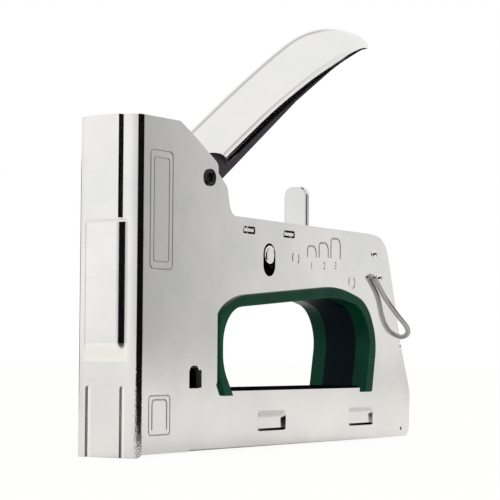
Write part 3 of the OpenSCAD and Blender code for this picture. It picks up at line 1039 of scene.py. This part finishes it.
@dataclass
class SidePlates:
    """The two pressed side plates with their openings, louvres, dimples and setting marks."""

    dresser: Dresser
    outline: Outline = Outline((
        (2.6, 1.1, 0), (204.9, 1.1, 4), (205.7, 20, 8), (197.7, 39, 12), (191.8, 58, 20), (183, 84.6, 12),
        (168, 85.8, 10), (60.9, 86.7, 5), (58.4, 97, 4), (48.9, 104.1, 2), (25, 116.8, 0), (2.6, 116.8, 0),
    ), 12)
    louvres: tuple[float, ...] = (80.6, 151.5)
    louvre_size: Point = (21.0, 7.8)
    louvre_z: float = 6.8
    louvre_gap: float = 0.9
    louvre_dish: float = 1.3
    slot_half: Point = (4.4, 6.3)
    slot_middle: float = 71.5
    dimples: tuple[Point, ...] = ((172.9, 77.6), (177.4, 67.8))
    dimple_r: float = 2.0
    fold: float = 1.1
    arches: tuple[tuple[float, ...], ...] = (
        (117.4, 124.3, 73.9, 78.3), (126.6, 134.0, 74.1, 80.0), (136.2, 143.9, 74.2, 82.2),
    )
    numbers: tuple[tuple[str, Point], ...] = (
        ("1", (120.7, 70.4)), ("2", (130.8, 70.8)), ("3", (140.0, 71.2)),
    )
    number_height: float = 4.2
    engraved: float = 0.3

    def openings(self) -> list[Piece]:
        """Cutting bodies for everything that goes through the plate."""
        low, high = -14.0, -9.0
        grown = ARCH_INNER.grown(3.0)
        arch = Bench.plate("arch_tool", grown.points(), low, high)
        floor = Bench.plate("floor_tool", box_outline(30, 0, 190, HAND_FLOOR).points(), low - 1, high + 1)
        Bench.carve(arch, [floor])
        (x, _), middle, (a, b) = SETTING_PIN, self.slot_middle, self.slot_half
        oval = Outline(box_outline(x - a, middle - b, x + a, middle + b, a - 0.02).corners, 14)
        boxes = [("oval_tool", oval)]
        for kind, places, (width, height), radius in (
            ("window_tool", WINDOWS, WINDOW_SIZE, 0.8),
            ("louvre_tool", [(x, self.louvre_z) for x in self.louvres], self.louvre_size, 1.4),
        ):
            boxes += [(kind, box_outline(a, b, a + width, b + height, radius)) for a, b in places]
        boxes.append(("slit_tool", box_outline(196.2, 38.7, 197.4, 40.9, 0.5)))
        holes = [(PIVOT, PIN_R + 0.05, 40), (BAIL_EYE, 1.15, 40), ((197.6, 4.4), 0.8, 40)]
        holes += [(at, RIVET_R + 0.08, 48) for at in RIVETS.values()]
        return [
            arch, notch_tool(),
            *(Bench.plate(name, outline.points(), low, high) for name, outline in boxes),
            *(Bench.rod("hole_tool", at, radius, low, high, sides) for at, radius, sides in holes),
        ]

    def marks(self) -> list[Piece]:
        """Cutting bodies for the three rising arches and their numbers."""
        deep = -PLATE_OUT + self.engraved
        tools = []
        for left, right, foot, top in self.arches:
            arch = Outline(((left, foot, 0), (right, foot, 0), (right, top, 2.8), (left, top, 1.8)), 8)
            line = arch.points()
            tools.append(Bench.plate("arch_line_tool", stroke(line[1:] + line[:1], 0.8), -15, deep))
        return tools + [self.number(body, at, deep) for body, at in self.numbers]

    def number(self, body: str, at: Point, deep: float) -> Piece:
        """A dial number as a cutting body.

        Args:
            body: The digit.
            at: Its middle in side view.
            deep: Where the cut ends.

        Returns:
            The body.
        """
        Bench.lay_down()
        thick = 1.0
        bpy.ops.object.text_add(
            location=Vector((at[0], deep - thick, at[1])) * MM, rotation=(math.pi / 2, 0, 0)
        )
        text = bpy.context.object
        text.data.body = body
        text.data.size = self.number_height * MM
        text.data.extrude = thick * MM
        text.data.align_x = "CENTER"
        text.data.align_y = "CENTER"
        bpy.ops.object.convert(target="MESH")
        bpy.ops.object.transform_apply(location=True, rotation=True, scale=True)
        piece = bpy.context.object
        Bench.weld(piece, 0.01)
        return piece

    def scoop(self, x: float) -> Piece:
        """The dished tongue of one louvre, open over its slit.

        Args:
            x: The louvre's front edge.

        Returns:
            The tongue, ready to join to the plate.
        """
        width, height = self.louvre_size[0], self.louvre_size[1] - self.louvre_gap
        low = self.louvre_z + self.louvre_gap
        rows, columns = 15, 31

        def place(i: int, j: int) -> Place:
            """A point of the dished surface."""
            across = 0.5 - 0.5 * math.cos(math.pi * j / (columns - 1))
            up = math.sin(math.pi / 2 * i / (rows - 1))
            a, b = across * width, up * height
            dish = self.louvre_dish * ease(min(a, width - a), 0.0, 2.2) * ease(height - b, 0.0, 2.6)
            return x + a, -PLATE_OUT + 0.02 + dish, low + b

        piece = Bench.sheet("louvre_scoop", rows, columns, place)
        Bench.modify(piece, "SOLIDIFY", thickness=0.7 * MM, offset=-1.0)
        return piece

    def bumps(self) -> list[Piece]:
        """The two outward dimples."""
        made = []
        for a, b in self.dimples:
            middle = Vector((a, -PLATE_OUT + 0.35, b)) * MM
            Bench.lay_down()
            bpy.ops.mesh.primitive_uv_sphere_add(
                segments=32, ring_count=16, radius=self.dimple_r * MM, location=middle
            )
            made.append(Bench.fresh("dimple_form"))
            bpy.ops.transform.resize(value=(1, 0.72, 1), center_override=middle)
            bpy.ops.object.transform_apply(location=True, rotation=True, scale=True)
        return made

    def build(self) -> None:
        """Makes the left plate and mirrors it to the right."""
        piece = Bench.plate("side_plate", self.outline.points(), -PLATE_OUT, -PLATE_IN)
        found = Bench.edit_edges(piece, lambda a, b: (
            max(a.z, b.z) < 1.2 * MM and max(a.y, b.y) < -11.9 * MM and abs(a.x - b.x) > 50 * MM
        ))
        LOG.info("folding in %d lower edge", found)
        bpy.ops.mesh.bevel(offset=self.fold * MM, segments=5, affect="EDGES")
        Bench.close()
        Bench.carve(piece, self.openings())
        Bench.carve(piece, self.marks())
        Bench.carve(piece, self.bumps(), "UNION")
        Bench.round_edges(piece, 0.14, 2, 40)
        Bench.polish(piece, 40)
        scoops = [self.scoop(x) for x in self.louvres]
        for scoop in scoops:
            Bench.polish(scoop, 60)
        left = Bench.join([piece, *scoops])
        left.name = "left_plate"
        right = Bench.mirrored(left, "right_plate")
        for side, node in ((left, "side_plate_left"), (right, "side_plate_right")):
            self.dresser.keep(side, Body.FRAME, Slot.POLISHED, node)
            # Faces inside the engraved arches and numbers get the darker steel: painted shade in the grooves.
            self.dresser.inlay(side, ENGRAVED_LINE_PAINTED_SHADE, lambda at, normal: (
                116 < at.x < 145 and 68 < at.z < 83 and 0.03 < PLATE_OUT - abs(at.y) < 0.5
            ))


@dataclass
class Grip:
    """The moulded liner of the hand opening and the soft band let into it."""

    dresser: Dresser
    rise: float = 1.4
    web: float = 3.0
    band: float = 7.0

    def build(self) -> None:
        """Makes the liner and the band."""
        out = PLATE_OUT + self.rise
        piece = Bench.plate("grip_moulding", ARCH_FLANGE.points(), -out, out)
        waist = Bench.plate("waist_tool", ARCH_FLANGE.grown(3.0).points(), -PLATE_OUT, PLATE_OUT)
        Bench.carve(waist, [Bench.plate("waist_core", ARCH_INNER.grown(self.web).points(), -16, 16)])
        Bench.carve(piece, [waist, Bench.plate("hand_tool", ARCH_INNER.points(), -20, 20)])
        recess = Bench.plate("band_tool", ARCH_INNER.grown(1.0).points(), -self.band, self.band)
        under = box_outline(40, 10, 190, HAND_FLOOR)
        foot = Bench.plate("foot_tool", under.points(), -PLATE_OUT, PLATE_OUT)
        Bench.carve(piece, [recess, foot])
        rim = (out - 0.01) * MM
        Bench.edit_edges(piece, lambda a, b: min(abs(a.y), abs(b.y)) > rim and a.y * b.y > 0)
        bpy.ops.mesh.bevel(offset=0.6 * MM, segments=5, affect="EDGES", clamp_overlap=True)
        Bench.triangulate()
        Bench.polish(piece, 50)
        self.dresser.keep(piece, Body.FRAME, Slot.GREEN, "grip_liner")
        band = Bench.from_node("grip_inset", "grip_band", clean=False)
        self.dresser.keep(band, Body.FRAME, Slot.INSET, "grip_inset")


@dataclass
class Handle:
    """The deep-drawn handle cover and the lever arm under it."""

    dresser: Dresser
    angle: float = 33.0
    wall: float = 0.9
    rows: tuple[tuple[float, ...], ...] = (
        (5, 10.1, 9.8, 0.4, -4.6), (30, 10.1, 9.7, 0.2, -5.0), (60, 10.5, 9.3, -0.4, -5.3),
        (90, 10.9, 8.2, -2.6, -6.5), (110, 11.1, 6.4, -5.2, -8.5), (125, 11.1, 2.4, -8, -10.7),
        (136, 10.4, -3.3, -11, -13), (143.5, 8.6, -8.8, -14.2, -15.8), (148, 5.6, -13.8, -16.8, -17.9),
        (150.4, 1.6, -17.4, -18.6, -19.2),
    )
    across: int = 41
    between: int = 6
    corner: Point = (4.0, -11.0)
    corner_r: float = 17.0
    arm_squeeze: float = 0.965

    def turned(self, u: float, y: float, w: float) -> Place:
        """Moves a point from the handle's own axes to the gun's."""
        c, s = math.cos(math.radians(self.angle)), math.sin(math.radians(self.angle))
        return PIVOT[0] + u * c - w * s, y, PIVOT[1] + u * s + w * c

    def ring(self, k: float) -> list[Place]:
        """One section of the shell, from its right rim to its left rim.

        Args:
            k: Place in the table of rows.

        Returns:
            Its points.
        """
        u, width, crown, shoulder, rim = through(self.rows, k)
        rise = crown - shoulder
        limit = math.pi / 2 + math.asin(min(1.0, (shoulder - rim) / rise))
        made = []
        for j in range(self.across):
            a = limit * (1 - 2 * j / (self.across - 1))
            made.append(self.turned(u, width * math.sin(a), shoulder + rise * math.cos(a)))
        return made

    def build(self) -> None:
        """Makes the shell and the arm."""
        count = (len(self.rows) - 1) * self.between + 1
        rings = [self.ring(i / self.between) for i in range(count)]
        shell = Bench.sheet("handle_shell", len(rings), self.across, lambda i, j: rings[i][j])
        Bench.modify(shell, "SOLIDIFY", thickness=self.wall * MM, offset=-1.0)
        x, _, z = self.turned(self.corner[0], 0, self.corner[1])
        Bench.carve(shell, [Bench.rod("corner_tool", (x, z), self.corner_r, -20, 20, 96)])
        Bench.round_edges(shell, 0.18, 2, 60)
        Bench.polish(shell, 60)
        self.dresser.keep(shell, Body.HANDLE, Slot.CHROME, "handle_cover")
        arm = Bench.from_node("lever_arm", "lever", 0.3)
        Bench.edit_all(arm)
        bpy.ops.transform.resize(value=(1, self.arm_squeeze, 1), center_override=(0, 0, 0))
        Bench.close()
        self.dresser.keep(arm, Body.HANDLE, Slot.LEVER, "lever_arm")


@dataclass
class Fasteners:
    """The lever pin and the two flush rivets."""

    dresser: Dresser
    pin_half: float = 13.8
    rivet_half: float = 11.98

    def build(self) -> None:
        """Turns the pins from round bars."""
        pin = Bench.rod("lever_pin_turned", PIVOT, PIN_R, -self.pin_half, self.pin_half)
        Bench.cup_ends(pin, 1.0, 0.35)
        Bench.cup_ends(pin, 0.35, 1.6)
        Bench.round_edges(pin, 0.22, 3)
        Bench.polish(pin)
        self.dresser.keep(pin, Body.FRAME, Slot.OXIDE, "lever_pin")
        for node, at in RIVETS.items():
            rivet = Bench.rod(node + "_head", at, RIVET_R, -self.rivet_half, self.rivet_half, 48)
            Bench.cup_ends(rivet, 0.5, -0.02)
            Bench.round_edges(rivet, 0.2, 2)
            Bench.polish(rivet)
            self.dresser.keep(rivet, Body.FRAME, Slot.POLISHED, node)


@dataclass
class Adjuster:
    """The force setting's tongue and pin."""

    dresser: Dresser
    tongue_x: Point = (128.1, 130.7)
    tongue_z: Point = (70.0, 102.7)
    tongue_half: float = 5.2
    pin_r: float = 3.55
    pin_half: float = 12.55

    def build(self) -> None:
        """Makes the tongue and the pin."""
        (low, high), half = self.tongue_z, self.tongue_half
        outline = Outline(((-half, low, 0), (half, low, 0), (half, high, 3.4), (-half, high, 3.4)), 10)
        tongue = Bench.plate("setting_tongue", outline.points(), *self.tongue_x, Way.ALONG)
        Bench.round_edges(tongue, 0.7, 4)
        Bench.polish(tongue)
        self.dresser.keep(tongue, Body.ADJUSTER, Slot.CHROME, "adjuster_tongue")
        self.dresser.inlay(tongue, TONGUE_STEEL, lambda at, normal: True)
        pin = Bench.rod("setting_pin", SETTING_PIN, self.pin_r, -self.pin_half, self.pin_half)
        Bench.cup_ends(pin, 0.9, -0.05, 0.9)
        Bench.round_edges(pin, 0.5, 4, 30)
        Bench.polish(pin, 50)
        self.dresser.keep(pin, Body.ADJUSTER, Slot.CHROME, "adjuster_pin")


@dataclass
class Bail:
    """The sprung wire that locks the handle down."""

    dresser: Dresser
    radius: float = 1.05
    sides: int = 20
    eye_y: float = 9.6
    elbow: float = 1.3
    path: tuple[Place, ...] = (
        (BAIL_EYE[0], -13.4, BAIL_EYE[1]), (174.2, -13.4, 64.4), (179.8, -13.8, 59.2), (186.8, -15.8, 52.4),
        (192.2, -16.9, 48.2), (195.8, -16.2, 45.4), (197.8, -14, 43.8), (198.4, -10.6, 43.2),
        (198.4, -5, 43.2),
    )

    def centreline(self) -> list[Vector]:
        """The wire's middle, from the left eye round to the right one."""
        last = len(self.path) - 1
        leg = [Vector(through(self.path, i / 5)) for i in range(last * 5 + 1)]
        start, onward = leg[0], (leg[1] - leg[0]).normalized()
        left = [Vector((start.x, -self.eye_y, start.z))]
        for k in range(7):
            angle = math.pi / 2 * k / 6
            inwards = Vector((0, self.elbow * (1 - math.sin(angle)), 0))
            left.append(start + inwards + onward * self.elbow * (1 - math.cos(angle)))
        left += [p for p in leg if (p - start).length > self.elbow * 1.1]
        return left + [Vector((p.x, -p.y, p.z)) for p in reversed(left)]

    def build(self) -> None:
        """Draws the wire as a skin of rings along its middle."""
        line = self.centreline()
        rings = []
        side = Vector((1, 0, 1)).normalized()
        for i, at in enumerate(line):
            along = (line[min(i + 1, len(line) - 1)] - line[max(i - 1, 0)]).normalized()
            side = (side - along * side.dot(along)).normalized()
            up = along.cross(side)
            rings.append([
                at + self.radius * (side * math.cos(t) + up * math.sin(t))
                for t in (2 * math.pi * k / self.sides for k in range(self.sides))
            ])
        wire = Bench.tube("lock_bail", rings)
        Bench.polish(wire, 50)
        self.dresser.keep(wire, Body.BAIL, Slot.CHROME, "wire_bail")
        # The whole wire gets the darker copy of the chrome: painted shade.
        self.dresser.inlay(wire, BAIL_PAINTED_SHADE_STEEL, lambda at, normal: True)


@dataclass
class TopStrip:
    """The strip between the plates' top edges, with a tab standing free in each window."""

    dresser: Dresser
    moat: float = 0.4
    tab_gap: float = 0.8

    @staticmethod
    def block(outline: Outline, side: int, near: float, far: float) -> Piece:
        """A body on one side of the gun, between two distances from its middle."""
        return Bench.plate("block", outline.points(), *sorted((side * near, side * far)))

    def build(self) -> None:
        """Cuts a moat round each tab and hangs the tab on a bar behind it."""
        piece = Bench.from_node("top_bridge", "top_strip")
        width, height = WINDOW_SIZE
        for side in (-1, 1):
            for a, b in WINDOWS:
                c, d, out, gap = a + width, b + height, self.moat, self.tab_gap
                moat = box_outline(a - out, b - out, c + out, d + out, 0.9)
                tab = box_outline(a + gap, b + gap, c - gap, d - gap, 0.35)
                middle = (a + c) / 2
                bar = box_outline(middle - 1.0, b + gap, middle + 1.0, d + 1.2)
                Bench.carve(piece, [self.block(moat, side, 9.0, 14.0)])
                Bench.carve(piece, [
                    self.block(bar, side, 8.8, 9.6), self.block(tab, side, 9.5, PLATE_OUT - 0.15),
                ], "UNION")
        Bench.round_edges(piece, 0.12, 2)
        Bench.polish(piece)
        self.dresser.keep(piece, Body.FRAME, Slot.POLISHED, "top_bridge")


@dataclass
class Sill:
    """The channel's lid, with a raised sill whose top is painted shadow black at the foot of the hand
    opening.
    """

    dresser: Dresser
    box: tuple[float, ...] = (62.6, 21.0, 162.2, 22.9)
    half: float = 10.4

    def build(self) -> None:
        """Raises the sill on the lid."""
        lid = Bench.from_node("channel_lid", "channel_cover")
        sill = Bench.plate("sill", box_outline(*self.box, 0.3).points(), -self.half, self.half)
        Bench.carve(lid, [sill], "UNION")
        Bench.round_edges(lid, 0.12, 2)
        Bench.polish(lid)
        self.dresser.keep(lid, Body.FRAME, Slot.OXIDE, "channel_lid")
        # The raised sill's faces get the reflectionless black: painted shadow.
        self.dresser.inlay(lid, SHADOW_GAP, lambda at, normal: at.z > 21.4)


@dataclass
class Machined:
    """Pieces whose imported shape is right: copies with broken edges, and nodes that only need a finish."""

    dresser: Dresser
    copies: tuple[tuple[str, str, Body, Slot, float], ...] = (
        ("rear_spine", "rear_strip", Body.FRAME, Slot.POLISHED, 0.15),
        ("nose_guide", "staple_guide", Body.FRAME, Slot.ZINC, 0.15),
        ("magazine_channel", "staple_channel", Body.FRAME, Slot.ZINC, 0.12),
        ("pivot_spacers", "lever_spacers", Body.FRAME, Slot.ZINC, 0.15),
        ("bumper_shelf", "bumper_bracket", Body.FRAME, Slot.ZINC, 0.15),
        ("bumper", "bumper_block", Body.FRAME, Slot.RUBBER, 0.6),
        ("striker", "striker_block", Body.DRIVER, Slot.ZINC, 0.2),
        ("driver_blade", "drive_blade", Body.DRIVER, Slot.SPRING, 0.1),
        ("adjuster_slide", "setting_slide", Body.ADJUSTER, Slot.ZINC, 0.15),
        ("rail", "staple_rail", Body.RAIL, Slot.ZINC, 0.12),
        ("rail_end_cap", "rail_cap", Body.RAIL, Slot.PLASTIC, 0.5),
        ("rod_stop", "rod_bracket", Body.RAIL, Slot.ZINC, 0.12),
        ("pusher", "staple_follower", Body.PUSHER, Slot.ZINC, 0.2),
        ("rail_latch", "rail_catch", Body.LATCH, Slot.OXIDE, 0.2),
    )
    dressed: tuple[tuple[str, Slot], ...] = (
        ("spring_seat", Slot.ZINC), ("return_spring", Slot.SPRING), ("detent_leaf", Slot.SPRING),
        ("blade_rivet", Slot.ZINC), ("guide_rod", Slot.SPRING),
    )

    def build(self) -> None:
        """Copies and dresses them all."""
        for node, name, body, slot, bevel in self.copies:
            self.dresser.keep(Bench.from_node(node, name, bevel), body, slot, node)
        for node, slot in self.dressed:
            self.dresser.dress_node(node, slot)


@dataclass
class Springs:
    """The three coil springs of the drive, the follower and the catch."""

    dresser: Dresser
    coils: tuple[tuple[str, str, Body, str, Place, float], ...] = (
        ("drive_spring", "main_coil", Body.FRAME, "striker_lift", (0, 0, 1), 0.72),
        ("pusher_spring", "follower_coil", Body.RAIL, "pusher_slide", (1, 0, 0), 0.36),
        ("latch_spring", "catch_coil", Body.RAIL, "latch_press", (0, 0, 1), 0.72),
    )

    def build(self) -> None:
        """Copies the coils."""
        for node, name, body, joint, axis, keep in self.coils:
            coil = Bench.from_node(node, name, clean=False)
            self.dresser.keep(coil, body, Slot.SPRING, node)
            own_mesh(coil)


@dataclass
class Studio:
    """Plain floor, soft white surroundings, dark cards for the metal to reflect, and the camera."""

    floor_half: float = 4.0
    yaw: float = 31.66
    pitch: float = 2.97
    roll: float = 0.371
    lens: float = 141.08
    camera_at: Place = (-0.5485, -0.3961, 0.0366)
    centre: Place = (0.08, 0.0, 0.08)
    corner: Place = (0.003, -0.013, 0.0)
    ring_glow: tuple[Point, ...] = (
        (-180, 0.9), (-50, 0.42), (-38, 0.36), (-35, 0.43), (-33.4, 0.54), (-31.8, 0.7), (-30, 0.8),
        (-26, 0.88), (-10, 0.9), (60, 0.9), (115, 0.92), (140, 0.98), (155, 0.98), (180, 0.9),
    )

    def world(self) -> None:
        """Soft white all round, a little darker where the side plates look."""
        world = bpy.data.worlds.new("studio_world")
        bpy.context.scene.world = world
        world.use_nodes = True
        shader = Shader(world.node_tree)
        where = shader.node("ShaderNodeTexCoord", {}, {}, "Generated")
        x, y, z = (shader.node("ShaderNodeSeparateXYZ", {}, {0: where}, letter) for letter in "XYZ")
        turn = shader.node("ShaderNodeMath", {"operation": "ARCTAN2"}, {0: y, 1: x}) / (2 * math.pi) + 0.5
        stops = [(angle / 360 + 0.5, (v, v * 0.998, v * 0.985)) for angle, v in self.ring_glow]
        ramp = shader.node("ShaderNodeValToRGB", {"stops": stops}, {"Fac": turn}, "Color")
        high = shader.span(z, 0.13, 0.21)
        sky = shader.blend(high, ramp, (0.9, 0.9, 0.89))
        scrim = shader.span(z, 0.44, 0.52) * shader.span(z, 0.72, 0.64)
        scrim = scrim * shader.span(turn, 0.55, 0.58) * shader.span(turn, 0.71, 0.67)
        sky = shader.blend(scrim * 0.8, sky, (0.5, 0.5, 0.5))
        seen = shader.node("ShaderNodeLightPath", {}, {}, "Is Camera Ray")
        shown = shader.blend(seen, sky, (1.0, 1.0, 1.0))
        glow = shader.node("ShaderNodeBackground", {}, {"Color": shown, "Strength": 1.0})
        shader.node("ShaderNodeOutputWorld", {}, {"Surface": glow})

    def floor(self) -> None:
        """A wide pale floor under the foot."""
        Bench.lay_down()
        bpy.ops.mesh.primitive_plane_add(size=2 * self.floor_half, location=(0, 0, 0))
        floor = Bench.fresh("studio_floor")
        material, shader = new_material("pale_floor")
        colour = shader.blend(shader.noise(6.0, 2.0), (0.8, 0.79, 0.765), (0.78, 0.77, 0.745))
        lit = shader.node("ShaderNodeBsdfDiffuse", {}, {"Color": colour}, "BSDF")
        seen = shader.node("ShaderNodeLightPath", {}, {}, "Is Camera Ray")
        lift = shader.node("ShaderNodeEmission", {}, {"Color": (1.0, 1.0, 0.995, 1.0), "Strength": 1.0})
        both = shader.node("ShaderNodeMixShader", {}, {0: seen * 0.96, 1: lit, 2: lift})
        shader.node("ShaderNodeOutputMaterial", {}, {"Surface": both})
        floor.data.materials.append(material)

    @staticmethod
    def card(name: str, start: float, end: float, reach: Point, height: Point, hub: Place) -> None:
        """A dark card that only reflections see, curved round the gun.

        Args:
            name: Its name.
            start: First bearing, in degrees from +X towards +Y.
            end: Last bearing.
            reach: Distances of its two edges from the hub, in metres.
            height: Heights of the two edges.
            hub: What it curves round.
        """
        steps = 24

        def place(i: int, j: int) -> Place:
            """A point of the curved card, in millimetres."""
            bearing = math.radians(start + (end - start) * j / steps)
            x, y = hub[0] + reach[i] * math.cos(bearing), hub[1] + reach[i] * math.sin(bearing)
            return x / MM, y / MM, height[i] / MM

        card = Bench.sheet(name, 2, steps + 1, place)
        material, shader = new_material(name + "_felt")
        felt = shader.blend(shader.noise(40.0, 2.0), (0.002, 0.002, 0.003), (0.004, 0.004, 0.005))
        shader.surface({"Base Color": felt, "Roughness": 1.0, "Specular IOR Level": 0.0})
        card.data.materials.append(material)
        for ray in ("camera", "diffuse", "shadow", "transmission", "volume_scatter"):
            setattr(card, "visible_" + ray, False)

    def lights(self) -> None:
        """Two soft panels."""
        for name, at, size, power in (
            ("key_panel", (-0.5, -0.9, 1.3), 0.9, 5.0),
            ("top_panel", (0.5, 0.3, 1.5), 1.0, 3.0),
        ):
            data = bpy.data.lights.new(name, "AREA")
            data.shape = "SQUARE"
            data.size = size
            data.energy = power
            lamp = bpy.data.objects.new(name, data)
            bpy.context.scene.collection.objects.link(lamp)
            lamp.visible_glossy = False
            lamp.location = at
            aim = Vector(self.centre) - Vector(at)
            lamp.rotation_euler = aim.to_track_quat("-Z", "Y").to_euler()

    def camera(self) -> None:
        """The camera, low on the gun's left front."""
        yaw, pitch, roll = (math.radians(v) for v in (self.yaw, self.pitch, self.roll))
        look = Vector((math.cos(yaw) * math.cos(pitch), math.sin(yaw) * math.cos(pitch), math.sin(pitch)))
        level = Vector((math.sin(yaw), -math.cos(yaw), 0))
        up = level.cross(look)
        right = math.cos(roll) * level + math.sin(roll) * up
        top = -math.sin(roll) * level + math.cos(roll) * up
        data = bpy.data.cameras.new("studio_camera")
        data.lens = self.lens
        data.sensor_width = 36.0
        data.clip_start = 0.01
        data.clip_end = 20.0
        camera = bpy.data.objects.new("studio_camera", data)
        bpy.context.scene.collection.objects.link(camera)
        rows = [(right[k], top[k], -look[k], self.camera_at[k]) for k in range(3)]
        camera.matrix_world = Matrix((*rows, (0, 0, 0, 1)))
        bpy.context.scene.camera = camera

    def build(self) -> None:
        """Sets the studio up."""
        self.camera()
        self.world()
        self.floor()
        self.card("dark_card_left", -120, -42, (1.3, 1.3), (0.0, 0.46), self.centre)
        self.card("dark_floor_left", -120, -44, (0.03, 1.3), (0.002, 0.002), self.corner)
        self.card("dark_card_rear", -23, 75, (1.2, 1.2), (0.002, 0.22), self.centre)
        self.card("dark_floor_rear", -16, 75, (0.45, 1.2), (0.002, 0.002), self.centre)
        self.lights()
        bpy.context.scene.view_settings.view_transform = "Standard"


def main() -> None:
    """Builds every sub-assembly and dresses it."""
    logging.basicConfig(level=logging.INFO, format="%(message)s")
    dresser = Dresser()
    Studio().build()
    for maker in (
        TowerCover, SidePlates, Grip, Handle, Fasteners, Adjuster, Bail, TopStrip, Sill, Machined, Springs
    ):
        maker(dresser).build()
    LOG.info("%d pieces dressed", dresser.count)


if __name__ == "__main__":
    main()
